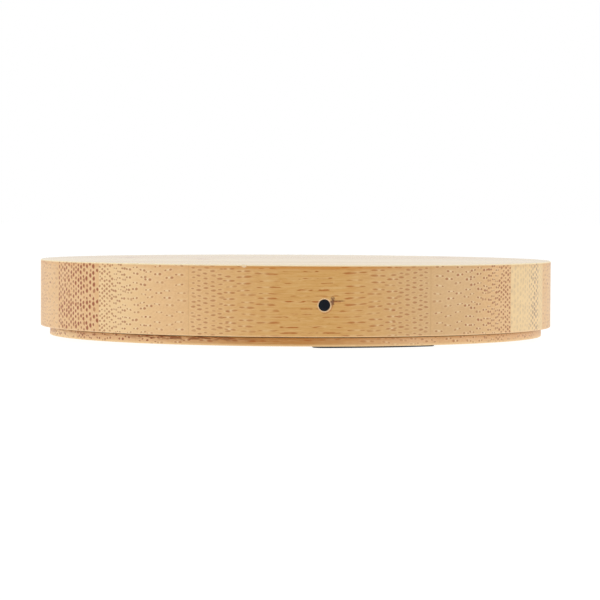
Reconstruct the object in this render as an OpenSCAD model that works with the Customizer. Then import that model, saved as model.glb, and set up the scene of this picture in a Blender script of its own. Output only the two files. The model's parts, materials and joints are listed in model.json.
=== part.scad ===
// Small bamboo lazy susan turntable.
// A thick round platter turns on a ball bearing that is let into its underside.
// The bearing and the centre pivot sit on a thin, slightly smaller base board.
// The origin is the centre of the footprint, on the surface that the turntable stands on.
// +Z is the spin axis, and the small hole in the rim faces -Y.

/* [Platter] */
// Diameter of the turning platter
platter_d = 150; // [148:1:170]
// Thickness of the platter board
platter_h = 19.35; // [18.5:0.05:24]
// Rounding of the platter's top and bottom edges
platter_edge = 0.3; // [0.2:0.1:1.5]

/* [Base] */
// How far the platter's rim overhangs the base board all round
overhang = 2.7; // [1:0.1:3.5]
// Thickness of the base board
base_h = 2.35; // [2.35:0.05:4]
// Open line between the base board and the platter
run_gap = 0.3; // [0.3:0.05:0.8]

/* [Rim hole] */
// Diameter of the hole in the rim
hole_d = 3.2; // [2:0.1:4]
// Height of the hole's axis above the platter's underside
hole_up = 8.6; // [8:0.1:9]

/* [Bearing] */
// Diameter of one steel ball
ball_d = 4; // [3.6:0.1:4]
// Number of balls in the ring
ball_count = 24; // [12:1:32]
// Diameter of the circle that the balls run on
ball_circle_d = 96; // [95.5:0.1:96.5]

/* [Pivot] */
// Diameter of the centre bolt's shank
bolt_d = 6; // [5:0.1:6]

/* [Feet] */
// How far the rubber pads stand out below the base board
pad_proud = 0.8; // [0.8:0.05:1.5]
// Width of a pad across its curve
pad_w = 6; // [4.5:0.5:7]
// Angle that the middle line of a pad covers between its round ends
pad_arc = 28; // [10:1:40]

/* [Hidden] */
$fn = 96;
eps = 0.01;

// Colours
bamboo = [0.86, 0.70, 0.47];
bamboo_dark = [0.74, 0.55, 0.33];
black_moulding = [0.12, 0.12, 0.13];
white_nylon = [0.92, 0.91, 0.87];
bright_steel = [0.80, 0.81, 0.83];
zinc_steel = [0.66, 0.67, 0.69];
brass = [0.80, 0.66, 0.36];
black_rubber = [0.07, 0.07, 0.07];

// Heights above the standing surface
base_z = pad_proud;
base_top = base_z + base_h;
platter_z = base_top + run_gap;
platter_r = platter_d / 2;
base_r = platter_r - overhang;
base_edge = 0.2;

// Pocket in the platter's underside: an annular groove round a lowered centre
pocket_r = 60;
island_r = 36.5;
pocket_top = platter_z + 11.35;
island_z = base_top + 2.05;

// Bearing: moulded race rings, each with a steel track let into its face
ball_r = ball_d / 2;
ball_circle_r = ball_circle_d / 2;
ball_z = base_top + 5.45;
ball_fit = 0.05;
race_face = 0.8;
track_half_w = 3;
track_h = 1.8;
track_fit = 0.05;
race_plate_h = 2;
race_block_half_w = 4.5;
upper_in_r = 37;
upper_out_r = 59.6;
lower_in_r = 37.8;
lower_out_r = 58.8;
race_wall = 1.8;
rib_w = 1.6;
rib_count = 12;
cage_half_w = 3.4;
cage_h = 1;
cage_fit = 0.1;

// Race screws
race_screw_r = 55.15;
race_screw_count = 4;
wood_screw_r = 1.45;
pilot_fit = 0.05;
pan_head_r = 2.5;
pan_head_h = 1.7;
upper_screw_len = 7.4;
csk_head_r = 2.75;
lower_screw_len = 6.2;
boss_r = 3;
boss_top = base_top + 4.3;

// Centre pivot
bolt_r = bolt_d / 2;
bolt_fit = 0.05;
bolt_head_r = 7;
bolt_head_h = 1.3;
bolt_floor_gap = 0.4;
bolt_top = base_top + 11.85;
hex_key_r = 2.31;
hex_key_depth = 2.4;
washer_h = 0.4;
washer_r = 7.6;
head_well_r = 8.2;
head_well_top = bolt_floor_gap + bolt_head_h + bolt_fit + washer_h;
bush_sleeve_r = 5;
bush_flange_r = 17;
bush_flange_h = 1.2;
bush_screw_circle_r = 12.5;
bush_screw_len = 3;
small_screw_r = 0.9;
small_head_r = 1.9;
insert_flange_r = 12;
insert_flange_h = 1.2;
insert_barrel_r = 4;
insert_top = island_z + 10.2;
insert_screw_circle_r = 8.6;
insert_screw_len = 6;
thrust_r = 6;
thrust_z = base_top + bush_flange_h + bolt_fit;

// Foot pads: three curved strips, each let into the base board
pad_circle_r = 62;
pad_sunk = 0.5;
pad_edge = 0.25;
pad_azimuths = [-75, 45, 165];

// A flat ring between two heights
module ring(r_in, r_out, z_low, z_high) {
    difference() {
        translate([0, 0, z_low]) cylinder(r = r_out, h = z_high - z_low);
        translate([0, 0, z_low - 1]) cylinder(r = r_in, h = z_high - z_low + 2);
    }
}

// A plain round plug between two heights
module plug(r, z_low, z_high) {
    translate([0, 0, z_low]) cylinder(r = r, h = z_high - z_low);
}

// A disc whose top and bottom edges are quarter rounds
module round_edged_disc(r, z_low, h, edge) {
    translate([0, 0, z_low]) rotate_extrude() union() {
        square([r - edge, h]);
        translate([0, edge]) square([r, h - 2 * edge]);
        translate([r - edge, edge]) circle(r = edge);
        translate([r - edge, h - edge]) circle(r = edge);
    }
}

// Copies of the children evenly spaced on a circle
module on_circle(count, r, start = 0) {
    for (i = [0:count - 1])
        rotate([0, 0, start + i * 360 / count]) translate([r, 0, 0]) children();
}

// The ring-shaped channel that the balls roll in
module ball_channel() {
    rotate_extrude() translate([ball_circle_r, ball_z]) circle(r = ball_r + ball_fit);
}

// A cross-shaped driver recess, cut upwards from z = 0
module cross_recess(r, depth) {
    arm = r * 0.28;
    translate([-r * 0.6, -arm / 2, -eps]) cube([r * 1.2, arm, depth + eps]);
    translate([-arm / 2, -r * 0.6, -eps]) cube([arm, r * 1.2, depth + eps]);
}

// A countersunk screw, head face at z = 0, pointing up
module csk_screw(head_r, shank_r, len) {
    tip = shank_r * 0.8;
    difference() {
        union() {
            cylinder(r1 = head_r, r2 = shank_r, h = head_r - shank_r);
            translate([0, 0, head_r - shank_r - eps])
                cylinder(r = shank_r, h = len - tip - head_r + shank_r + eps);
            translate([0, 0, len - tip - eps])
                cylinder(r1 = shank_r, r2 = shank_r * 0.35, h = tip + eps);
        }
        cross_recess(head_r, (head_r - shank_r) * 0.7);
    }
}

// The hole that a countersunk screw sits in, with a little clearance
module csk_hole(head_r, shank_r, len) {
    translate([0, 0, -eps])
        cylinder(r1 = head_r + pilot_fit + eps, r2 = shank_r + pilot_fit, h = head_r - shank_r + eps);
    translate([0, 0, -eps]) cylinder(r = shank_r + pilot_fit, h = len + 0.2 + eps);
}

// A pan-head wood screw, the head's bearing face at z = 0, pointing up
module pan_screw(head_r, head_h, shank_r, len) {
    tip = shank_r * 0.8;
    difference() {
        union() {
            translate([0, 0, -head_h]) cylinder(r1 = head_r * 0.8, r2 = head_r, h = head_h * 0.5);
            translate([0, 0, -head_h * 0.5]) cylinder(r = head_r, h = head_h * 0.5);
            translate([0, 0, -eps]) cylinder(r = shank_r, h = len - tip + eps);
            translate([0, 0, len - tip - eps])
                cylinder(r1 = shank_r, r2 = shank_r * 0.35, h = tip + eps);
        }
        translate([0, 0, -head_h]) cross_recess(head_r, head_h * 0.6);
    }
}

// The channelled section that both moulded race rings share
module race_ring(in_r, out_r, plate_low, plate_high, low, high) {
    ring(in_r, out_r, plate_low, plate_high);
    ring(in_r, in_r + race_wall, low, high);
    ring(out_r - race_wall, out_r, low, high);
    ring(ball_circle_r - race_block_half_w, ball_circle_r + race_block_half_w, low, high);
    on_circle(rib_count, in_r + race_wall / 2, 15)
        translate([0, -rib_w / 2, low])
            cube([ball_circle_r - race_block_half_w - in_r, rib_w, high - low]);
}

// The cut that seats a steel track in a race ring
module track_seat(low, high) {
    ring(ball_circle_r - track_half_w - track_fit, ball_circle_r + track_half_w + track_fit, low, high);
}

// One steel track with the ball channel rolled into its face
module track(low) {
    difference() {
        ring(ball_circle_r - track_half_w, ball_circle_r + track_half_w, low, low + track_h);
        ball_channel();
    }
}

// A foot pad's solid: a curved strip with round ends and softened bottom edges
module pad_body(half_w, low, high, edge) {
    end = pad_arc / 2;
    rotate([0, 0, -end]) rotate_extrude(angle = pad_arc)
        translate([pad_circle_r, low]) union() {
            translate([-half_w, edge]) square([2 * half_w, high - low - edge]);
            translate([-half_w + edge, 0]) square([2 * (half_w - edge), edge]);
        }
    for (a = [-end, end]) rotate([0, 0, a]) translate([pad_circle_r, 0, low]) {
        translate([0, 0, edge]) cylinder(r = half_w, h = high - low - edge);
        cylinder(r1 = half_w - edge, r2 = half_w, h = edge);
    }
}

module foot_pad(azimuth) {
    rotate([0, 0, azimuth]) pad_body(pad_w / 2, 0, pad_proud + pad_sunk, pad_edge);
}

// The hole in the rim, with a broken edge at its mouth
module rim_hole() {
    mouth = 0.2;
    translate([0, -pocket_r + 1, platter_z + hole_up]) rotate([90, 0, 0])
        cylinder(r = hole_d / 2, h = platter_r - pocket_r + 5);
    translate([0, -platter_r + mouth, platter_z + hole_up]) rotate([90, 0, 0])
        cylinder(r1 = hole_d / 2, r2 = hole_d / 2 + 2 * mouth, h = 2 * mouth);
}

module platter() {
    color(bamboo) difference() {
        round_edged_disc(platter_r, platter_z, platter_h, platter_edge);
        plug(pocket_r, platter_z - 1, island_z);
        ring(island_r, pocket_r, island_z - eps, pocket_top);
        plug(insert_flange_r + 0.1, island_z - eps, island_z + insert_flange_h);
        plug(insert_barrel_r + pilot_fit, island_z, insert_top + 0.5);
        on_circle(3, insert_screw_circle_r, 30)
            plug(small_screw_r + pilot_fit, island_z, island_z + insert_screw_len + 0.2);
        on_circle(race_screw_count, race_screw_r, 45)
            plug(wood_screw_r + pilot_fit, pocket_top - 1, pocket_top - race_plate_h + upper_screw_len + 0.2);
        rim_hole();
    }
}

module upper_race() {
    low = ball_z + race_face;
    color(black_moulding) difference() {
        race_ring(upper_in_r, upper_out_r, pocket_top - race_plate_h, pocket_top, low, pocket_top);
        track_seat(low - 1, low + track_h);
        on_circle(race_screw_count, race_screw_r, 45)
            plug(wood_screw_r + 0.15, pocket_top - race_plate_h - 1, pocket_top + 1);
    }
}

module upper_track() {
    color(bright_steel) track(ball_z + race_face);
}

module upper_race_screws() {
    color(zinc_steel) on_circle(race_screw_count, race_screw_r, 45)
        translate([0, 0, pocket_top - race_plate_h])
            pan_screw(pan_head_r, pan_head_h, wood_screw_r, upper_screw_len);
}

module threaded_insert() {
    color(brass) difference() {
        union() {
            plug(insert_flange_r, island_z, island_z + insert_flange_h);
            plug(insert_barrel_r, island_z, insert_top);
        }
        plug(bolt_r + bolt_fit, island_z - 1, insert_top + 1);
        on_circle(3, insert_screw_circle_r, 30) translate([0, 0, island_z])
            csk_hole(small_head_r, small_screw_r, insert_flange_h + 1);
    }
}

module insert_screws() {
    color(zinc_steel) on_circle(3, insert_screw_circle_r, 30)
        translate([0, 0, island_z]) csk_screw(small_head_r, small_screw_r, insert_screw_len);
}

module pivot_bolt() {
    head_top = bolt_floor_gap + bolt_head_h;
    tip = 0.8;
    color(zinc_steel) difference() {
        union() {
            plug(bolt_head_r, bolt_floor_gap + 0.4, head_top);
            translate([0, 0, bolt_floor_gap])
                cylinder(r1 = bolt_head_r - 0.7, r2 = bolt_head_r, h = 0.4);
            plug(bolt_r, head_top - eps, bolt_top - tip);
            translate([0, 0, bolt_top - tip - eps])
                cylinder(r1 = bolt_r, r2 = bolt_r - tip, h = tip + eps);
        }
        translate([0, 0, bolt_floor_gap - eps])
            cylinder(r = hex_key_r, h = hex_key_depth + eps, $fn = 6);
    }
}

module thrust_washer() {
    color(white_nylon) ring(bolt_r + 0.1, thrust_r, thrust_z, island_z - bolt_fit);
}

module base_board() {
    color(bamboo_dark) difference() {
        round_edged_disc(base_r, base_z, base_h, base_edge);
        plug(head_well_r, base_z - 1, head_well_top);
        plug(bush_sleeve_r + pilot_fit, base_z - 1, base_top + 1);
        on_circle(race_screw_count, race_screw_r, 0) translate([0, 0, base_z])
            csk_hole(csk_head_r, wood_screw_r, base_h + 1);
        on_circle(3, bush_screw_circle_r, 0)
            plug(small_screw_r + pilot_fit, base_z + 0.4, base_top + 1);
        for (a = pad_azimuths) rotate([0, 0, a])
            pad_body(pad_w / 2 + 0.1, base_z - 1, base_z + pad_sunk, eps);
    }
}

module lower_race() {
    high = ball_z - race_face;
    color(black_moulding) difference() {
        union() {
            race_ring(lower_in_r, lower_out_r, base_top, base_top + race_plate_h, base_top, high);
            on_circle(race_screw_count, race_screw_r, 0) plug(boss_r, base_top, boss_top);
        }
        track_seat(high - track_h, high + 1);
        on_circle(race_screw_count, race_screw_r, 0)
            plug(wood_screw_r + pilot_fit, base_top - 1, base_z + lower_screw_len + 0.2);
    }
}

module lower_track() {
    color(bright_steel) track(ball_z - race_face - track_h);
}

module lower_race_screws() {
    color(zinc_steel) on_circle(race_screw_count, race_screw_r, 0)
        translate([0, 0, base_z]) csk_screw(csk_head_r, wood_screw_r, lower_screw_len);
}

module pivot_bush() {
    color(white_nylon) difference() {
        union() {
            plug(bush_flange_r, base_top, base_top + bush_flange_h);
            plug(bush_sleeve_r, head_well_top + bolt_fit, base_top + eps);
        }
        plug(bolt_r + bolt_fit, base_z - 1, base_top + bush_flange_h + 1);
        on_circle(3, bush_screw_circle_r, 0) translate([0, 0, base_top + bush_flange_h])
            rotate([180, 0, 0]) csk_hole(small_head_r, small_screw_r, bush_flange_h + 1);
    }
}

module bush_screws() {
    color(zinc_steel) on_circle(3, bush_screw_circle_r, 0)
        translate([0, 0, base_top + bush_flange_h])
            rotate([180, 0, 0]) csk_screw(small_head_r, small_screw_r, bush_screw_len);
}

module bolt_washer() {
    color(zinc_steel)
        ring(bolt_r + 0.15, washer_r, head_well_top - washer_h, head_well_top);
}

module foot_pad_front() {
    color(black_rubber) foot_pad(pad_azimuths[0]);
}

module foot_pad_right() {
    color(black_rubber) foot_pad(pad_azimuths[1]);
}

module foot_pad_left() {
    color(black_rubber) foot_pad(pad_azimuths[2]);
}

module ball_cage() {
    color(white_nylon) difference() {
        ring(ball_circle_r - cage_half_w, ball_circle_r + cage_half_w,
            ball_z - cage_h / 2, ball_z + cage_h / 2);
        on_circle(ball_count, ball_circle_r)
            plug(ball_r + cage_fit, ball_z - cage_h, ball_z + cage_h);
    }
}

module bearing_balls() {
    color(bright_steel) on_circle(ball_count, ball_circle_r)
        translate([0, 0, ball_z]) sphere(r = ball_r);
}

platter();
upper_race();
upper_track();
upper_race_screws();
threaded_insert();
insert_screws();
pivot_bolt();
thrust_washer();
base_board();
lower_race();
lower_track();
lower_race_screws();
pivot_bush();
bush_screws();
bolt_washer();
foot_pad_front();
foot_pad_right();
foot_pad_left();
ball_cage();
bearing_balls();
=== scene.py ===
"""The looks of a small bamboo lazy susan turntable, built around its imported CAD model.

Every length is in metres, in the CAD model's own frame: +Z is the spin axis, the floor is z = 0,
and the hole in the platter's rim faces -Y.
"""
import json
import math
from collections import namedtuple

import bmesh
import bpy
from mathutils import Matrix, Vector, noise


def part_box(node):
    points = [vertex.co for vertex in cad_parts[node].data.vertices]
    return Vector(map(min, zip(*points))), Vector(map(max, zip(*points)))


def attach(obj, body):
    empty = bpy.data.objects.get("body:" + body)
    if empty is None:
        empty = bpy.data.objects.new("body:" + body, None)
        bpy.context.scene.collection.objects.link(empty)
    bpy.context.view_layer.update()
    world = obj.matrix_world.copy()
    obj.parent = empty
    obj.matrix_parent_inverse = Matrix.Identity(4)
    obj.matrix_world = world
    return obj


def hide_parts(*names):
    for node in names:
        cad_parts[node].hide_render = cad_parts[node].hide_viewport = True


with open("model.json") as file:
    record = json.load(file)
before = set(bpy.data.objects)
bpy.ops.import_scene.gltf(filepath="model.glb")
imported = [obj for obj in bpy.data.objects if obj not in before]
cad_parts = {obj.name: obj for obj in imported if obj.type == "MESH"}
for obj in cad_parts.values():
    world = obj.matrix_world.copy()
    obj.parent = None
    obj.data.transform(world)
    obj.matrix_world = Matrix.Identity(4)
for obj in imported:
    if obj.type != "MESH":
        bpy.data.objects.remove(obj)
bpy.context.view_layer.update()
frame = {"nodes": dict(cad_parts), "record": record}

MM = 0.001
CAMERA_AZIMUTH = math.radians(-95.93)

# Sizes that the frame gives
PLATTER_LOW, PLATTER_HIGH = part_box("platter")
BASE_LOW, BASE_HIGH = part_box("base_board")
PLATTER_R = PLATTER_HIGH.x
BASE_R = BASE_HIGH.x
MOUNTS = {m["name"]: m for m in frame["record"]["mounts"]}
HOLE_Z = MOUNTS["rim_hole"]["pos_m"][2]
HOLE_R = MOUNTS["rim_hole"]["dims"]["r_mm"] * MM


def linear(red, green, blue):
    """A colour given as 0 to 255 display values, as the shader's linear colour."""
    def one(value):
        value /= 255
        return value / 12.92 if value <= 0.04045 else ((value + 0.055) / 1.055) ** 2.4
    return one(red), one(green), one(blue), 1.0


# ---------------------------------------------------------------- shader building blocks

class Field:
    """A number that varies over a surface. Arithmetic on fields adds Math nodes."""

    def __init__(self, tree, socket):
        self.tree = tree
        self.socket = socket

    def math(self, kind, *values):
        """The field that a Math node of this kind makes of the values."""
        node = self.tree.nodes.new("ShaderNodeMath")
        node.operation = kind
        for slot, value in zip(node.inputs, values):
            feed(self.tree, slot, value)
        return Field(self.tree, node.outputs[0])

    def __add__(self, other):
        return self.math("ADD", self, other)

    def __sub__(self, other):
        return self.math("SUBTRACT", self, other)

    def __mul__(self, other):
        return self.math("MULTIPLY", self, other)

    def __truediv__(self, other):
        return self.math("DIVIDE", self, other)

    def __radd__(self, other):
        return self.math("ADD", other, self)

    def __rsub__(self, other):
        return self.math("SUBTRACT", other, self)

    def __rmul__(self, other):
        return self.math("MULTIPLY", other, self)

    def __abs__(self):
        return self.math("ABSOLUTE", self)

    def floor(self):
        return self.math("FLOOR", self)

    def squared(self):
        return self.math("MULTIPLY", self, self)

    def root(self):
        return self.math("SQRT", self)

    def at_least(self, other):
        return self.math("MAXIMUM", self, other)

    def rise(self, low, high, start=0.0, end=1.0):
        """Goes smoothly from start to end as this field goes from low to high."""
        node = self.tree.nodes.new("ShaderNodeMapRange")
        node.interpolation_type = "SMOOTHSTEP"
        for slot, value in zip(node.inputs, (self, low, high, start, end)):
            feed(self.tree, slot, value)
        return Field(self.tree, node.outputs[0])


def feed(tree, slot, value):
    """Links a field or socket to a slot, or sets the slot to a plain value."""
    if isinstance(value, Field):
        tree.links.new(value.socket, slot)
    elif isinstance(value, bpy.types.NodeSocket):
        tree.links.new(value, slot)
    else:
        slot.default_value = value


def vector(tree, x=0.0, y=0.0, z=0.0):
    """The socket of a vector whose parts are fields or plain values."""
    node = tree.nodes.new("ShaderNodeCombineXYZ")
    for slot, value in zip(node.inputs, (x, y, z)):
        feed(tree, slot, value)
    return node.outputs[0]


def parts(tree, socket):
    """The three fields that a vector or colour socket holds."""
    node = tree.nodes.new("ShaderNodeSeparateXYZ")
    tree.links.new(socket, node.inputs[0])
    return [Field(tree, out) for out in node.outputs]


def noise_field(tree, place, scale=1.0, detail=2.0):
    """Smooth noise, about 0 to 1 with its middle at 0.5."""
    node = tree.nodes.new("ShaderNodeTexNoise")
    tree.links.new(place, node.inputs["Vector"])
    node.inputs["Scale"].default_value = scale
    node.inputs["Detail"].default_value = detail
    return Field(tree, node.outputs[0])


def random_of(tree, number, salt):
    """A random number from 0 to 1 for each whole number."""
    node = tree.nodes.new("ShaderNodeTexWhiteNoise")
    node.noise_dimensions = "2D"
    tree.links.new(vector(tree, number, salt), node.inputs["Vector"])
    return Field(tree, node.outputs["Value"])


def blend(tree, amount, first, second):
    """A colour from first to second by amount."""
    node = tree.nodes.new("ShaderNodeMix")
    node.data_type = "RGBA"
    feed(tree, node.inputs[0], amount)
    feed(tree, node.inputs[6], first)
    feed(tree, node.inputs[7], second)
    return node.outputs[2]


def bump(tree, height, depth):
    """A surface normal that follows a height field, whose step from 0 to 1 is depth high."""
    node = tree.nodes.new("ShaderNodeBump")
    node.inputs["Strength"].default_value = 1.0
    node.inputs["Distance"].default_value = depth
    tree.links.new(height.socket, node.inputs["Height"])
    return node.outputs[0]


def new_material(name):
    material = bpy.data.materials.new(name)
    material.use_nodes = True
    tree = material.node_tree
    return material, tree, tree.nodes["Principled BSDF"]


def object_place(tree):
    """The socket of a point's place in its own piece's frame, so that marks turn with the piece."""
    return tree.nodes.new("ShaderNodeTexCoord").outputs["Object"]


# ---------------------------------------------------------------- bamboo

STRIP_W = 19.1 * MM
CHIP_AZIMUTH = math.radians(-106.6)
KNOT_SIDE = 2.2 * MM
KNOT_UP = 1.15 * MM
GLUE_BROWN = linear(150, 105, 66)

# A lath's bundles stand closer toward its outer side, band by band. A band runs from start to end, as
# shares of the lath's width. step_across and step_up are its bundles' spacing, pair_gap lies between a
# bundle's two dark caps, and the last two are a cap's half sizes.
Band = namedtuple("Band", "start end step_across step_up pair_gap half_across half_up")
BUNDLE_BANDS = (
    Band(0.00, 0.36, 1.75 * MM, 2.50 * MM, 0.84 * MM, 0.18 * MM, 0.22 * MM),
    Band(0.36, 0.57, 1.50 * MM, 2.15 * MM, 0.74 * MM, 0.19 * MM, 0.22 * MM),
    Band(0.57, 0.78, 1.16 * MM, 1.66 * MM, 0.56 * MM, 0.19 * MM, 0.21 * MM),
    Band(0.78, 0.985, 0.74 * MM, 1.36 * MM, 0.03 * MM, 0.21 * MM, 0.23 * MM),
)
CROWDED_BANDS = (
    Band(0.02, 0.27, 1.30 * MM, 1.75 * MM, 0.05 * MM, 0.27 * MM, 0.39 * MM),
    Band(0.27, 0.98, 1.16 * MM, 1.50 * MM, 0.03 * MM, 0.27 * MM, 0.35 * MM),
)


class Bamboo:
    """Laminated bamboo: fields over its surface, and a body colour that marks are laid on.

    grain turns the laths about Z, and first_joint is one glue line's place across them.
    The laths up to number vivid_to show their bundles clearly, and the later ones less.
    contrast is how dark the bundles are at the laths' left and right ends.
    salt gives a board its own random draws, and inside is where a drilled hole's bore is painted near black
    as shade, with a faint painted glow.
    On the marked lath the bundles crowd together, and its left end is ripe and dark and its right end pale.
    """

    def __init__(self, name, grain, first_joint, salt, vivid_to, contrast=(1.0, 1.0), marked_lath=None):
        self.material, self.tree, self.shader = new_material(name)
        self.salt = salt
        self.vivid_to = vivid_to
        self.marked = marked_lath is not None
        self.inside = None
        self.find_faces(grain)
        self.find_laths(first_joint)
        self.find_vigour(marked_lath)
        self.find_bundles(contrast)

    def grain_noise(self, along, across, up, detail=2.0):
        """Smooth noise of places that are already divided by its length, width and height."""
        return noise_field(self.tree, vector(self.tree, along, across, up), detail=detail)

    def lath_random(self, draw):
        """A random number from 0 to 1 for each lath, a new one for each draw."""
        return random_of(self.tree, self.lath, self.salt / MM + draw)

    def is_lath(self, number):
        """1 on the lath with this number, 0 elsewhere."""
        return (1.0 - abs(self.lath - number) * 4.0).at_least(0.0)

    def find_faces(self, grain):
        """Places along and across the laths, and how the surface lies to them.

        end_face is how much it cuts across the fibres: 0 on a side face, 1 on an end face.
        """
        self.x, self.y, self.z = parts(self.tree, object_place(self.tree))
        nx, ny, nz = parts(self.tree, self.tree.nodes.new("ShaderNodeTexCoord").outputs["Normal"])
        back = Vector((math.cos(grain), math.sin(grain)))
        self.along = self.x * back.y - self.y * back.x
        self.across_true = self.x * back.x + self.y * back.y
        self.radius = (self.x.squared() + self.y.squared()).root()
        self.end_face = abs(nx * back.y - ny * back.x)
        self.cut = self.end_face.rise(0.05, 0.58)
        self.flat_face = abs(nz)
        self.flat = self.flat_face.rise(0.6, 0.95)
        self.upright = self.flat_face.rise(0.3, 0.7, 1.0, 0.0)

    def find_laths(self, first_joint):
        """The laths, and places in them. Fibres wander a little, so that streaks start and stop."""
        along, across_true, z = self.along, self.across_true, self.z
        self.lath = ((across_true - first_joint) / STRIP_W).floor()
        self.strip_start = self.lath * STRIP_W + first_joint
        self.share = (across_true - self.strip_start) / STRIP_W
        self.glue = abs(self.share - 0.5).rise(0.4955, 0.4995)
        self.drift = self.grain_noise(along / (45 * MM), across_true / (14 * MM), z / (14 * MM))
        drift_up = self.grain_noise(along / (38 * MM), across_true / (9 * MM), z / (20 * MM) + 5.0)
        weave = self.grain_noise(along / (4.5 * MM), across_true / (2 * MM), z / (1.2 * MM) + 3.0)
        weave = (weave - 0.5) * self.end_face.rise(0.03, 0.22, 2.0 * MM, 0.0) * self.upright
        self.across = across_true + (self.drift - 0.5) * (0.5 * MM) + weave
        self.up = z + (drift_up - 0.5) * (1.6 * MM) + self.lath * (7.3 * MM) + self.salt
        self.fine = self.grain_noise(
            along / (11 * MM), self.across / (0.42 * MM), self.up / (0.34 * MM), detail=3.0)

    def find_vigour(self, marked_lath):
        """How clearly each lath's bundles show."""
        right_end = self.along.rise(-50 * MM, 50 * MM)
        vigour = (self.lath - self.vivid_to).rise(0.4, 0.6, 0.80, 0.0)
        vigour = vigour * (1.0 + right_end * self.end_face.rise(0.4, 0.8, 0.0, 0.28))
        vigour = vigour + (1.0 - vigour) * (0.35 + self.lath_random(0.0) * 0.5)
        if self.marked:
            self.crowded = self.is_lath(marked_lath)
            self.ripe = self.crowded * (1.0 - right_end)
            self.pale = self.crowded * right_end
            rear = self.share.rise(0.40, 0.62) * self.share.rise(0.72, 0.86, 1.0, 0.0)
            vigour = vigour * (1.0 - self.crowded) + self.ripe * 1.25 + self.pale * (0.22 + rear * 0.75)
        self.vigour = vigour

    def band_of_bundles(self, band, bold):
        """The fibre bundles of one band: (dark caps, pale tissue round and in them), each 0 to 1.

        bold is a factor on the caps' size.
        """
        column = self.across / band.step_across
        row = self.up / band.step_up + column * 0.5
        cells = self.tree.nodes.new("ShaderNodeTexVoronoi")
        cells.voronoi_dimensions = "2D"
        cells.inputs["Scale"].default_value = 1.0
        cells.inputs["Randomness"].default_value = 0.30
        self.tree.links.new(vector(self.tree, column, row), cells.inputs["Vector"])
        centre_column, centre_row, _ = parts(self.tree, cells.outputs["Position"])
        luck, size, lean = parts(self.tree, cells.outputs["Color"])

        centre_across = centre_column * band.step_across
        from_across = self.across - centre_across
        from_up = self.up - (centre_row - centre_column * 0.5) * band.step_up
        from_up = from_up + from_across * (lean - 0.5) * 0.5
        grow = bold * (0.74 + size * 0.52) * from_across.rise(-0.1 * MM, 0.1 * MM, 1.14, 0.90)
        side = (abs(from_across) - band.pair_gap / 2) / (band.half_across * grow)
        height = from_up / (band.half_up * grow)
        reach = (side.squared() + height.squared()).root()
        cap = reach.rise(0.6, 1.3, 1.0, 0.0)
        ring = reach.rise(1.1, 1.5) * reach.rise(1.6, 2.6, 1.0, 0.0)
        core_up = from_up - 0.08 * MM
        core = (from_across.squared() + core_up.squared()).root().rise(0.08 * MM, 0.36 * MM, 0.8, 0.0)
        pale = core * (1.0 if band.pair_gap > 0.4 * MM else 0.2) + ring * 0.30

        share = (centre_across - self.strip_start) / STRIP_W
        inside = share.math("GREATER_THAN", share, band.start) * share.math("LESS_THAN", share, band.end)
        strength = inside * luck.rise(0.0, 0.35, 0.66, 1.0)
        return cap * strength, pale * strength

    def all_bands(self, bands, bold):
        """The bundles of several bands: (dark caps, pale tissue)."""
        caps, cores = zip(*[self.band_of_bundles(band, bold) for band in bands])
        return sum(caps), sum(cores)

    def find_bundles(self, contrast):
        """The bundles' dark caps and pale tissue. On a face along the grain their streaks come and go."""
        bold = self.end_face.rise(0.50, 0.72, 1.0, 1.3)
        caps, cores = self.all_bands(BUNDLE_BANDS, bold)
        if self.marked:
            crowded_caps, crowded_cores = self.all_bands(CROWDED_BANDS, bold)
            caps = caps * (1.0 - self.crowded) + crowded_caps * self.crowded
            cores = cores * (1.0 - self.crowded) + crowded_cores * self.crowded
        left, right = contrast
        caps = caps * self.vigour * self.along.rise(-20 * MM, 20 * MM, left, right)
        run = self.grain_noise(
            self.along / (3.4 * MM), self.up / (1.1 * MM), self.across_true / (3 * MM), detail=1.0)
        grazing = self.end_face.rise(0.06, 0.20, 1.0, 0.0) * self.upright
        self.caps = caps * (1.0 - grazing * run.rise(0.40, 0.52, 1.0, 0.0))
        self.cores = cores * self.vigour * (1.0 - grazing * 0.5)

    def lay(self, amount, colour):
        """Lays a colour over the body colour."""
        self.body = blend(self.tree, amount, self.body, colour)

    def paint(self, side_colour, end_colour):
        """The whole body colour, from the plain tissue up."""
        self.body = blend(self.tree, self.cut, side_colour, end_colour)
        self.paint_tissue()
        self.paint_faint_laths()
        if self.marked:
            self.paint_marked_lath()
        self.paint_bundles()
        self.lay(self.glue * 0.16, GLUE_BROWN)
        self.paint_flat_faces()

    def paint_tissue(self):
        """Streaks along the fibres, broad warm clouds, and pith where the fibres are cut across."""
        long_streak = self.grain_noise(
            self.along / (40 * MM), self.across / (1.1 * MM) + 9.0, self.up / (0.8 * MM))
        broad = self.grain_noise(
            self.along / (60 * MM), self.across_true / (6 * MM), self.z / (8 * MM) + self.salt / MM)
        pith = self.grain_noise(self.along / (1.2 * MM), self.across / (0.5 * MM), self.up / (0.5 * MM))
        streaky = 1.0 - self.cut * 0.8
        self.lay(self.fine.rise(0.48, 0.78) * streaky * 0.45, linear(188, 124, 52))
        self.lay(self.fine.rise(0.5, 0.25) * streaky * 0.40, linear(238, 204, 146))
        self.lay(long_streak.rise(0.55, 0.75) * streaky * 0.30, linear(206, 142, 66))
        self.lay(broad.rise(0.3, 0.7) * 0.22, linear(222, 170, 104))
        self.lay(pith.rise(0.35, 0.7) * self.cut * 0.22, linear(206, 150, 106))

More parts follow.
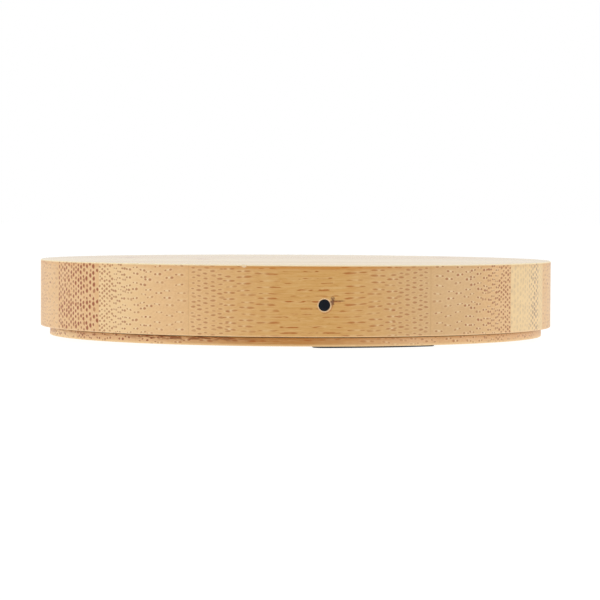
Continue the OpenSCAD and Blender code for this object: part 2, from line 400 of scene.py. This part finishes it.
    def paint_faint_laths(self):
        """An end face is paler and mottled where its bundles are faint."""
        plain = (1.0 - self.vigour).at_least(0.0) * self.cut
        mottle = self.grain_noise(self.along / (4 * MM), self.across / (1.1 * MM), self.up / (1.5 * MM))
        far_left = self.along.rise(-54 * MM, -38 * MM, 1.0, 0.0) * self.is_lath(self.vivid_to) * self.cut
        self.lay(plain * 0.30, linear(250, 226, 182))
        self.lay(plain * mottle.rise(0.44, 0.64) * 0.55, linear(190, 150, 122))
        self.lay(far_left * 0.42, linear(255, 228, 176))

    def paint_marked_lath(self):
        """The marked lath's ripe and pale ends, over painted shade that darkens the rim right of its middle.
        """
        # Painted shade: darkens the rim's side faces right of the middle, standing in for less light there
        painted_right_shade = self.along.rise(8 * MM, 36 * MM) * self.along.rise(44 * MM, 52 * MM, 1.0, 0.2)
        self.lay(painted_right_shade * self.flat_face.rise(0.4, 0.8, 0.25, 0.0), linear(187, 159, 120))
        self.lay(self.ripe * 0.14, linear(214, 158, 106))
        self.lay(self.pale * self.flat_face.rise(0.4, 0.8, 0.62, 0.25), linear(251, 223, 170))

    def paint_bundles(self):
        """The bundles' pale tissue, then their dark caps, which are softer on slanting and flat faces."""
        cap_colour = blend(self.tree, self.cut, linear(178, 96, 38), linear(158, 84, 54))
        if self.marked:
            cap_colour = blend(self.tree, self.pale * 0.8, cap_colour, linear(134, 112, 110))
        slanting = self.end_face.rise(0.10, 0.20) * self.end_face.rise(0.42, 0.52, 1.0, 0.0)
        grain_side = self.end_face.rise(0.06, 0.14, 0.14, 0.0)
        depth = (0.78 + grain_side - slanting * 0.20) * self.flat_face.rise(0.4, 0.8, 1.0, 0.45)
        self.lay(self.cores * (0.10 + self.cut * 0.5), linear(254, 232, 190))
        self.lay(self.caps * depth, cap_colour)

    def paint_flat_faces(self):
        """The top is paler, and each lath of it has its own tone, clear glue lines and a knuckle."""
        tone = self.lath_random(2.0)
        knuckle_at = (self.lath_random(4.0) - 0.5) * 190 * MM
        ragged = (self.drift - 0.5) * 3 * MM + (self.fine - 0.5) * 4 * MM
        knuckle = abs(self.along - knuckle_at + ragged)
        self.lay(self.flat * 0.50, linear(255, 242, 196))
        self.lay(self.flat * tone.rise(0.45, 0.95) * 0.30, linear(216, 164, 100))
        self.lay(self.flat * self.glue * 0.45, GLUE_BROWN)
        self.lay(self.flat * knuckle.rise(1.0 * MM, 6.0 * MM, 0.40, 0.0), linear(222, 168, 104))
        self.lay(self.flat * knuckle.rise(0.2 * MM, 1.7 * MM, 0.45, 0.0), linear(176, 118, 64))

    def finish(self):
        """The thin satin lacquer. It lies thicker on the flat faces than round the rim."""
        tree, shader = self.tree, self.shader
        relief = self.fine * 0.5 + self.caps * -0.6 + self.glue * -0.8
        relief = relief * self.flat_face.rise(0.4, 0.8, 1.0, 0.12)
        tree.links.new(self.body, shader.inputs["Base Color"])
        feed(tree, shader.inputs["Roughness"], relief * 0.1 + 0.46 - self.flat * 0.24)
        shader.inputs["Specular IOR Level"].default_value = 0.30
        shader.inputs["Specular Tint"].default_value = linear(255, 246, 218)
        feed(tree, shader.inputs["Coat Weight"], self.flat * 0.33 + 0.03)
        shader.inputs["Coat Roughness"].default_value = 0.18
        if self.inside is not None:
            # Painted glow: an emission on the bore stands in for the light that wanders round inside the
            # drilled hole
            painted_glow = blend(tree, self.inside, linear(0, 0, 0), linear(26, 28, 33))
            tree.links.new(painted_glow, shader.inputs["Emission Color"])
            shader.inputs["Emission Strength"].default_value = 1.0
        tree.links.new(bump(tree, relief, 0.02 * MM), shader.inputs["Normal"])
        return self.material


def platter_edge_tints(wood):
    """The arrises are painted pale as highlights, with a warmer burnished line just inside the top one."""
    rim = wood.radius.rise(PLATTER_R - 0.6 * MM, PLATTER_R - 0.15 * MM)
    below_top = PLATTER_HIGH.z - wood.z
    above_low = wood.z - PLATTER_LOW.z
    burnish = below_top.rise(0.25 * MM, 0.5 * MM) * below_top.rise(0.7 * MM, 1.5 * MM, 1.0, 0.0)
    wood.lay(rim * burnish * (0.60 - wood.cut * 0.46), linear(206, 126, 48))
    # Painted highlights along the top arris and the lower arris
    wood.lay(rim * below_top.rise(0.22 * MM, 0.42 * MM, 1.0, 0.0) * 0.85, linear(255, 238, 196))
    wood.lay(rim * above_low.rise(0.2 * MM, 0.5 * MM, 1.0, 0.0) * 0.42, linear(252, 210, 160))


def base_edge_tints(wood):
    """The base board's lower arris is painted pale as a highlight, and the wood just under the platter has
    painted shade, broken into dark streaks on the left.
    """
    rim = wood.radius.rise(BASE_R - 0.6 * MM, BASE_R - 0.15 * MM)
    above_low = wood.z - BASE_LOW.z
    below_top = BASE_HIGH.z - wood.z
    # Painted highlight along the lower arris, then painted shade under the platter's overhang
    wood.lay(rim * above_low.rise(0.2 * MM, 0.8 * MM, 1.0, 0.0) * 0.62, linear(255, 222, 166))
    wood.lay(rim * below_top.rise(0.2 * MM, 0.9 * MM, 1.0, 0.0) * 0.26, linear(160, 98, 46))
    # Painted shade in dark streaks just under the platter, on the left
    shade_streaks = wood.grain_noise(wood.x / (2.4 * MM), wood.y / (6 * MM), wood.z / (0.5 * MM))
    left = wood.x.rise(-54 * MM, -44 * MM, 0.3, 1.0) * wood.x.rise(-30 * MM, -14 * MM, 1.0, 0.0)
    streaked_shade = below_top.rise(0.5 * MM, 1.5 * MM, 1.0, 0.0) * left * shade_streaks.rise(0.42, 0.54)
    wood.lay(rim * streaked_shade * 0.80, linear(136, 72, 34))


def front_half(wood):
    """1 on the half of the platter that has the rim hole, 0 on the other."""
    return (0.0 - wood.y).rise(0.0, 1 * MM)


def rim_front(wood):
    """1 on the surface of the rim's front half, 0 inside the hole."""
    return wood.radius.rise(PLATTER_R - 0.7 * MM, PLATTER_R - 0.4 * MM) * front_half(wood)


def hole_marks(wood):
    """A painted highlight round the drilled mouth, painted shade at its lower right, and the bore painted
    near black as shade.
    """
    from_axis = wood.z - HOLE_Z
    from_edge = (wood.x.squared() + from_axis.squared()).root() - HOLE_R
    # Painted highlight: a pale ring where the mouth's chamfer would catch the light
    mouth_highlight = from_edge.rise(0.22 * MM, 0.40 * MM, 1.0, 0.0)
    wood.lay(mouth_highlight * rim_front(wood) * 0.55, linear(255, 220, 180))
    # Painted shade just outside the mouth, at its lower right
    shade = from_edge.rise(0.30 * MM, 0.48 * MM) * from_edge.rise(0.55 * MM, 0.85 * MM, 1.0, 0.0)
    lower_right = (wood.x - from_axis).rise(0.8 * MM, 2.2 * MM)
    wood.lay(shade * lower_right * rim_front(wood) * 0.5, linear(176, 98, 62))
    # Painted shade: the bore's wall is painted near black, as the dark inside of the hole
    bore = from_edge.rise(0.03 * MM, 0.06 * MM, 1.0, 0.0)
    deep = wood.radius.rise(PLATTER_R - 0.45 * MM, PLATTER_R - 0.25 * MM, 1.0, 0.0)
    wood.inside = bore * deep * front_half(wood)
    wood.lay(wood.inside, linear(16, 17, 20))


def knot_mark(wood):
    """A small dark knot beside the hole, with a thin tail to the right."""
    across = wood.x - KNOT_SIDE
    upward = wood.z - HOLE_Z - KNOT_UP
    ragged = noise_field(
        wood.tree, vector(wood.tree, across / (0.40 * MM), upward / (0.55 * MM)), detail=3.0) - 0.5
    spot = ((across / (0.60 * MM)).squared() + (upward / (1.15 * MM)).squared()).root() + ragged * 2.8
    wood.lay(spot.rise(0.5, 1.25, 1.0, 0.0) * rim_front(wood) * 0.72, linear(92, 48, 48))
    tail = (abs(upward) + ragged * 0.12 * MM).rise(0.08 * MM, 0.20 * MM, 1.0, 0.0)
    length = across.rise(0.0, 0.3 * MM) * across.rise(2.2 * MM, 3.8 * MM, 1.0, 0.0)
    wood.lay(tail * length * rim_front(wood) * 0.85, linear(112, 54, 28))


def chip_mark(wood):
    """Bare pale wood where the top arris is chipped."""
    side = wood.x - PLATTER_R * math.cos(CHIP_AZIMUTH)
    depth = wood.y - PLATTER_R * math.sin(CHIP_AZIMUTH)
    away = (side.squared() + depth.squared() + (wood.z - PLATTER_HIGH.z).squared()).root()
    wood.lay(away.rise(0.55 * MM, 0.95 * MM, 1.0, 0.0) * 0.70, linear(252, 232, 196))


def platter_bamboo():
    """The platter's wood, with one lath that is ripe and dark on the left and pale on the right."""
    wood = Bamboo("platter_bamboo", math.radians(87.37), -29.2 * MM, 0.0, vivid_to=-2, marked_lath=-1)
    wood.paint(linear(220, 170, 102), linear(240, 198, 146))
    platter_edge_tints(wood)
    hole_marks(wood)
    knot_mark(wood)
    chip_mark(wood)
    return wood.finish()


def base_bamboo():
    """The base board's wood, with its grain turned a little from the platter's."""
    wood = Bamboo(
        "base_bamboo", math.radians(81.9), -59.0 * MM, 3.7 * MM, vivid_to=1, contrast=(1.35, 0.75))
    wood.paint(linear(196, 140, 78), linear(240, 198, 152))
    base_edge_tints(wood)
    return wood.finish()


# ---------------------------------------------------------------- other materials

def moulded(name, colour, rough, painted_glow=None):
    """Injection-moulded plastic or rubber with a fine spark-eroded grain."""
    material, tree, shader = new_material(name)
    place = object_place(tree)
    grain = noise_field(tree, place, 3000.0, 3.0)
    cloud = noise_field(tree, place, 120.0, 2.0)
    darker = tuple(value * 0.6 for value in colour[:3]) + (1.0,)
    tree.links.new(blend(tree, cloud, darker, colour), shader.inputs["Base Color"])
    feed(tree, shader.inputs["Roughness"], rough + grain * 0.15)
    tree.links.new(bump(tree, grain, 0.015 * MM), shader.inputs["Normal"])
    if painted_glow is not None:
        # Painted glow: an emission stands in for the light that wanders round inside the closed bearing
        # pocket
        shader.inputs["Emission Color"].default_value = painted_glow
        shader.inputs["Emission Strength"].default_value = 1.0
    return material


def turned_metal(name, colour, rough, ring_pitch):
    """Metal with fine turning marks in rings about the spin axis."""
    material, tree, shader = new_material(name)
    place = object_place(tree)
    x, y, z = parts(tree, place)
    radius = (x.squared() + y.squared()).root()
    marks = noise_field(tree, vector(tree, radius / ring_pitch, z / ring_pitch), detail=2.0)
    stain = noise_field(tree, place, 400.0, 3.0)
    dull = tuple(value * 0.75 for value in colour[:3]) + (1.0,)
    tree.links.new(blend(tree, stain.rise(0.35, 0.7), colour, dull), shader.inputs["Base Color"])
    shader.inputs["Metallic"].default_value = 1.0
    feed(tree, shader.inputs["Roughness"], rough + marks * 0.15)
    tree.links.new(bump(tree, marks, 0.01 * MM), shader.inputs["Normal"])
    return material


# ---------------------------------------------------------------- meshes

TURNING_STEPS = 720
HOLE_STEPS = 96
DRILL_STEPS = 48
STRIP_STEPS = 24
SLIVER = 0.001 * MM
PAST = 1 * MM  # how far a cutter reaches past the face that it opens

PLATTER_ARRIS = 0.3 * MM
BASE_ARRIS = 0.2 * MM

# The hidden faces of the two boards, which fit the bearing and the pivot
POCKET_R = 60 * MM
ISLAND_R = 36.5 * MM
INSERT_FLANGE_R = 12.1 * MM
INSERT_FLANGE_T = 1.2 * MM
INSERT_BARREL_R = 4.05 * MM
BUSH_HOLE_R = 5.05 * MM
BOLT_WELL_R = 8.2 * MM
RACE_SCREW_CIRCLE_R = 55.15 * MM
INSERT_SCREW_CIRCLE_R = 8.6 * MM
BUSH_SCREW_CIRCLE_R = 12.5 * MM
RACE_SCREW_R = 1.5 * MM
RACE_SCREW_HEAD_R = 2.8 * MM
RACE_SCREW_HEAD_T = 1.3 * MM
SMALL_SCREW_R = 0.95 * MM

PAD_CIRCLE_R = 62 * MM
PAD_HALF_W = 3 * MM
PAD_HALF_ANGLE = math.radians(14)
PAD_AZIMUTHS = {"foot_pad_front": -75, "foot_pad_right": 45, "foot_pad_left": 165}


def turned(work, outline, steps, place=Matrix()):
    """Adds a solid turned about Z from (radius, z) points to a bmesh. Radius 0 is a point on the axis.

    place then carries the solid, axis and all, to where it belongs.
    """
    made = []
    for radius, z in outline:
        count = steps if radius else 1
        angles = [2 * math.pi * i / count for i in range(count)]
        points = [Vector((radius * math.cos(a), radius * math.sin(a), z)) for a in angles]
        made.append([work.verts.new(place @ point) for point in points])
    pairs = list(zip(made, made[1:]))
    if outline[0][0]:
        pairs.append((made[-1], made[0]))
    for one, two in pairs:
        for i in range(steps):
            j = (i + 1) % steps
            if len(one) == 1:
                work.faces.new((one[0], two[i], two[j]))
            elif len(two) == 1:
                work.faces.new((one[i], two[0], one[j]))
            else:
                work.faces.new((one[i], two[i], two[j], one[j]))


def drill(work, r, low, high, place):
    """Adds a plain drilled hole's cylinder to a bmesh."""
    turned(work, [(0, low), (r, low), (r, high), (0, high)], DRILL_STEPS, place)


def lump(work, half_sizes, place, roughness):
    """Adds an uneven pebble to a bmesh. Its sizes also pick its own stretch of the noise."""
    made = bmesh.ops.create_icosphere(work, subdivisions=3, radius=1.0)["verts"]
    for vert in made:
        swell = 1.0 + roughness * noise.noise(vert.co * 1.7 + Vector(half_sizes) * 900)
        shaped = Vector([a * b * swell for a, b in zip(vert.co, half_sizes)])
        vert.co = place @ shaped


def strip_loop(circle_r, half_angle, half_w):
    """The plan outline of a curved strip with round ends, about the +X direction."""
    loop = []
    for side in (1, -1):
        for i in range(2 * STRIP_STEPS + 1):
            angle = side * half_angle * (i / STRIP_STEPS - 1)
            r = circle_r + side * half_w
            loop.append((r * math.cos(angle), r * math.sin(angle)))
        end = side * half_angle
        for i in range(1, STRIP_STEPS):
            turn = end + (0 if side > 0 else math.pi) + math.pi * i / STRIP_STEPS
            loop.append((circle_r * math.cos(end) + half_w * math.cos(turn),
                         circle_r * math.sin(end) + half_w * math.sin(turn)))
    return loop


def strip_solid(work, circle_r, half_angle, half_w, levels, azimuth):
    """Adds a curved strip to a bmesh. levels are (inset, z) from its top face to its bottom face."""
    turn = Matrix.Rotation(azimuth, 4, "Z")
    made = []
    for inset, z in levels:
        loop = strip_loop(circle_r, half_angle, half_w - inset)
        made.append([work.verts.new(turn @ Vector((x, y, z))) for x, y in loop])
    for one, two in zip(made, made[1:]):
        for i in range(len(one)):
            j = (i + 1) % len(one)
            work.faces.new((one[i], two[i], two[j], one[j]))
    work.faces.new(made[0])
    work.faces.new(made[-1])


def as_object(name, work):
    """Turns a bmesh into an object of the scene, with its faces all facing out."""
    bmesh.ops.recalc_face_normals(work, faces=work.faces)
    mesh = bpy.data.meshes.new(name)
    work.to_mesh(mesh)
    work.free()
    piece = bpy.data.objects.new(name, mesh)
    bpy.context.scene.collection.objects.link(piece)
    return piece


def carve(piece, cutter):
    """Cuts the cutter out of the piece, tidies the mesh that is left, and throws the cutter away."""
    cut = piece.modifiers.new("cut", "BOOLEAN")
    cut.operation = "DIFFERENCE"
    cut.solver = "EXACT"
    cut.object = cutter
    graph = bpy.context.evaluated_depsgraph_get()
    carved = bpy.data.meshes.new_from_object(piece.evaluated_get(graph))
    work = bmesh.new()
    work.from_mesh(carved)
    bmesh.ops.remove_doubles(work, verts=work.verts, dist=SLIVER)
    bmesh.ops.dissolve_degenerate(work, edges=work.edges, dist=SLIVER)
    many_sided = [face for face in work.faces if len(face.verts) > 4]
    bmesh.ops.triangulate(work, faces=many_sided, ngon_method="EAR_CLIP")
    work.to_mesh(carved)
    work.free()
    piece.modifiers.clear()
    piece.data = carved
    bpy.data.objects.remove(cutter, do_unlink=True)


def settle(piece, node, body, material):
    """Smooth shading with crisp arrises, then the piece takes its CAD node's place."""
    piece.data.shade_smooth()
    piece.data.set_sharp_from_angle(angle=math.radians(32))
    piece.data.materials.clear()
    piece.data.materials.append(material)
    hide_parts(node)
    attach(piece, body)


def quarter_round(r, z, edge, start, steps=5):
    """Points on a quarter circle, from the start angle, clockwise."""
    angles = [math.radians(start - 90 * i / steps) for i in range(steps + 1)]
    return [(r + edge * math.cos(a), z + edge * math.sin(a)) for a in angles]


def board_edge(r, low, high, edge):
    """A board's edge from its top face round to its bottom face."""
    return quarter_round(r - edge, high - edge, edge, 90) + quarter_round(r - edge, low + edge, edge, 0)


def spread(count, r, start=0.0):
    """Places evenly spread on a circle about the spin axis."""
    turns = [start + 2 * math.pi * i / count for i in range(count)]
    return [Matrix.Rotation(turn, 4, "Z") @ Matrix.Translation((r, 0, 0)) for turn in turns]


def platter_cuts(pocket_top, insert_low, flange_top):
    """What is drilled and broken out of the platter: the rim hole, screw holes, the chip and the knot."""
    work = bmesh.new()
    mouth = 0.24 * MM
    race_pilot_top = pocket_top + 5.6 * MM
    insert_pilot_top = insert_low + 6.2 * MM
    toward_rim = Matrix.Translation((0, 0, HOLE_Z)) @ Matrix.Rotation(math.pi / 2, 4, "X")
    turned(work, [
        (0, POCKET_R - PAST), (HOLE_R, POCKET_R - PAST), (HOLE_R, PLATTER_R - mouth),
        (HOLE_R + 2 * mouth, PLATTER_R + mouth), (0, PLATTER_R + mouth)], HOLE_STEPS, toward_rim)
    for place in spread(4, RACE_SCREW_CIRCLE_R, math.radians(45)):
        drill(work, RACE_SCREW_R, pocket_top - PAST, race_pilot_top, place)
    for place in spread(3, INSERT_SCREW_CIRCLE_R, math.radians(30)):
        drill(work, SMALL_SCREW_R, flange_top - 0.5 * MM, insert_pilot_top, place)
    chip = Matrix.Rotation(CHIP_AZIMUTH, 4, "Z") @ Matrix.Translation((PLATTER_R, 0, PLATTER_HIGH.z))
    lump(work, (0.50 * MM, 0.75 * MM, 0.40 * MM), chip, 0.5)
    knot = Matrix.Translation((KNOT_SIDE, -PLATTER_R, HOLE_Z + KNOT_UP))
    lump(work, (0.34 * MM, 0.10 * MM, 0.62 * MM), knot, 0.6)
    return as_object("platter_cuts", work)


def make_platter(material):
    """The platter board: pocket below, drilled rim, and the small flaws of a real one."""
    pocket_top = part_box("upper_race")[1].z
    insert_low, insert_high = [corner.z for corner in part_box("threaded_insert")]
    flange_top = insert_low + INSERT_FLANGE_T
    barrel_top = insert_high + 0.5 * MM
    outline = [(0, PLATTER_HIGH.z)]
    outline += board_edge(PLATTER_R, PLATTER_LOW.z, PLATTER_HIGH.z, PLATTER_ARRIS)
    outline += [
        (POCKET_R, PLATTER_LOW.z), (POCKET_R, pocket_top), (ISLAND_R, pocket_top), (ISLAND_R, insert_low),
        (INSERT_FLANGE_R, insert_low), (INSERT_FLANGE_R, flange_top),
        (INSERT_BARREL_R, flange_top), (INSERT_BARREL_R, barrel_top), (0, barrel_top)]
    work = bmesh.new()
    turned(work, outline, TURNING_STEPS)
    platter = as_object("platter_board", work)
    carve(platter, platter_cuts(pocket_top, insert_low, flange_top))
    settle(platter, "platter", "turntable", material)


def base_cuts():
    """What is cut out of the base board: screw holes and the seats of the three pads."""
    low, high = BASE_LOW.z, BASE_HIGH.z
    pad_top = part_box("foot_pad_front")[1].z
    seat_half_w = PAD_HALF_W + 0.1 * MM
    screw_end = low + 0.4 * MM
    work = bmesh.new()
    for place in spread(4, RACE_SCREW_CIRCLE_R):
        turned(work, [
            (0, low - PAST), (RACE_SCREW_HEAD_R, low - PAST), (RACE_SCREW_HEAD_R, low),
            (RACE_SCREW_R, low + RACE_SCREW_HEAD_T), (RACE_SCREW_R, high + PAST), (0, high + PAST),
        ], DRILL_STEPS, place)
    for place in spread(3, BUSH_SCREW_CIRCLE_R):
        drill(work, SMALL_SCREW_R, screw_end, high + PAST, place)
    for azimuth in PAD_AZIMUTHS.values():
        strip_solid(
            work, PAD_CIRCLE_R, PAD_HALF_ANGLE, seat_half_w,
            [(0, pad_top), (0, low - PAST)], math.radians(azimuth))
    return as_object("base_cuts", work)


def make_base(material):
    """The base board, with the bush's hole through it and the bolt head's well below."""
    well_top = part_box("bolt_washer")[1].z
    outline = [(BUSH_HOLE_R, BASE_HIGH.z)]
    outline += board_edge(BASE_R, BASE_LOW.z, BASE_HIGH.z, BASE_ARRIS)
    outline += [(BOLT_WELL_R, BASE_LOW.z), (BOLT_WELL_R, well_top), (BUSH_HOLE_R, well_top)]
    work = bmesh.new()
    turned(work, outline, TURNING_STEPS)
    base = as_object("base_panel", work)
    carve(base, base_cuts())
    settle(base, "base_board", "base", material)


def make_pad(node, azimuth, material):
    """A curved rubber pad with a rounded foot and two anti-slip grooves along it."""
    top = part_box(node)[1].z
    groove = 0.14 * MM
    levels = [(0.0, top), (0.0, 0.36 * MM), (0.05 * MM, 0.20 * MM), (0.16 * MM, 0.07 * MM), (0.34 * MM, 0.0)]
    for start in (0.9 * MM, 1.9 * MM):
        levels += [
            (start, 0.0), (start + 0.10 * MM, groove), (start + 0.40 * MM, groove), (start + 0.50 * MM, 0.0)]
    work = bmesh.new()
    strip_solid(work, PAD_CIRCLE_R, PAD_HALF_ANGLE, PAD_HALF_W, levels, azimuth)
    settle(as_object(node + "_rubber", work), node, "base", material)


# ---------------------------------------------------------------- scene

MIDDLE = Vector((0, 0, 12 * MM))


def make_camera():
    """A long lens from a little above the platter, with the rim hole right of the middle."""
    distance = 10.76 * PLATTER_R
    height = BASE_LOW.z + 0.5154 * PLATTER_R
    pitch, roll, yaw = 0.0355, 0.0047, 0.00159  # radians
    data = bpy.data.cameras.new("camera")
    data.lens = 163.9
    data.clip_end = 20.0
    camera = bpy.data.objects.new("camera", data)
    bpy.context.scene.collection.objects.link(camera)
    camera.location = (distance * math.cos(CAMERA_AZIMUTH), distance * math.sin(CAMERA_AZIMUTH), height)
    heading = CAMERA_AZIMUTH + math.pi - yaw
    turn = Matrix.Rotation(heading - math.pi / 2, 4, "Z")
    tilt = Matrix.Rotation(math.pi / 2 - pitch, 4, "X")
    camera.rotation_mode = "QUATERNION"
    camera.rotation_quaternion = (turn @ tilt @ Matrix.Rotation(roll, 4, "Z")).to_quaternion()
    bpy.context.scene.camera = camera


def make_stage():
    """A plain white shooting table, lit from inside so that it takes almost no shadow."""
    mesh = bpy.data.meshes.new("floor")
    half = 4.0
    top = -0.02 * MM  # just under the pads, so that no two faces lie in one plane
    corners = [(-half, -half, top), (half, -half, top), (half, half, top), (-half, half, top)]
    mesh.from_pydata(corners, [], [(0, 1, 2, 3)])
    floor = bpy.data.objects.new("floor", mesh)
    bpy.context.scene.collection.objects.link(floor)
    material, tree, shader = new_material("floor_acrylic")
    mottle = noise_field(tree, object_place(tree), 3.0)
    tree.links.new(
        blend(tree, mottle, linear(98, 98, 98), linear(102, 102, 102)), shader.inputs["Base Color"])
    shader.inputs["Roughness"].default_value = 0.9
    shader.inputs["Specular IOR Level"].default_value = 0.1
    shader.inputs["Emission Color"].default_value = (1.0, 1.0, 1.0, 1.0)
    shader.inputs["Emission Strength"].default_value = 0.92
    mesh.materials.append(material)


def soft_box(name, place, side, power):
    """A square soft box at a place, turned to face the turntable's middle."""
    data = bpy.data.lights.new(name, "AREA")
    data.size = side
    data.energy = power
    light = bpy.data.objects.new(name, data)
    bpy.context.scene.collection.objects.link(light)
    light.location = place
    light.rotation_mode = "QUATERNION"
    light.rotation_quaternion = (MIDDLE - Vector(place)).to_track_quat("-Z", "Y")


def make_light():
    """A white tent with soft boxes at both sides and above.

    The tent lights the turntable less from the camera's side, but the camera sees it pure white all round.
    """
    world = bpy.data.worlds.new("studio")
    bpy.context.scene.world = world
    world.use_nodes = True
    tree = world.node_tree
    x, y, _ = parts(tree, tree.nodes.new("ShaderNodeTexCoord").outputs["Generated"])
    facing = x * math.cos(CAMERA_AZIMUTH) + y * math.sin(CAMERA_AZIMUTH)
    tent = facing.rise(-0.1, 0.95, 0.85, 0.45)
    seen = Field(tree, tree.nodes.new("ShaderNodeLightPath").outputs["Is Camera Ray"])
    back = tree.nodes["Background"]
    back.inputs["Color"].default_value = (1.0, 1.0, 1.0, 1.0)
    feed(tree, back.inputs["Strength"], tent.at_least(seen))
    soft_box("key_left", (-0.7, -0.35, 0.55), 0.6, 1.2)
    soft_box("key_right", (0.75, -0.25, 0.5), 0.6, 0.92)
    soft_box("top", (0.0, 0.2, 1.0), 1.0, 1.5)


def set_colour_management():
    """Plain display colours, so that the white studio shows white."""
    bpy.context.scene.view_settings.view_transform = "Standard"


def paint(node, material):
    """Gives a CAD node its material, through the object's own slots."""
    piece = frame["nodes"][node]
    if not piece.data.materials:
        piece.data.materials.append(material)
    for slot in piece.material_slots:
        slot.link = "OBJECT"
        slot.material = material


def main():
    make_camera()
    set_colour_management()
    make_stage()
    make_light()

    platter_wood = platter_bamboo()
    base_wood = base_bamboo()
    # The black moulding carries a faint painted glow, seen through the rim hole
    black = moulded("black_moulding", linear(30, 31, 34), 0.45, painted_glow=linear(27, 31, 36))
    nylon = moulded("white_nylon", linear(232, 229, 220), 0.40)
    rubber = moulded("black_rubber", linear(34, 33, 32), 0.70)
    steel = turned_metal("track_steel", linear(200, 201, 204), 0.18, 0.05 * MM)
    zinc = turned_metal("screw_steel", linear(188, 190, 194), 0.30, 0.08 * MM)
    brass = turned_metal("insert_brass", linear(206, 168, 92), 0.25, 0.06 * MM)

    slot_material = {
        "platter_bamboo": platter_wood, "base_bamboo": base_wood, "black_moulding": black,
        "white_nylon": nylon, "black_rubber": rubber, "track_steel": steel, "ball_steel": steel,
        "screw_steel": zinc, "bolt_steel": zinc, "insert_brass": brass,
    }
    for row in frame["record"]["subparts"]:
        paint(row["node"], slot_material[row["material_slot"]])
    make_platter(platter_wood)
    make_base(base_wood)
    for node, azimuth in PAD_AZIMUTHS.items():
        make_pad(node, math.radians(azimuth), rubber)


main()
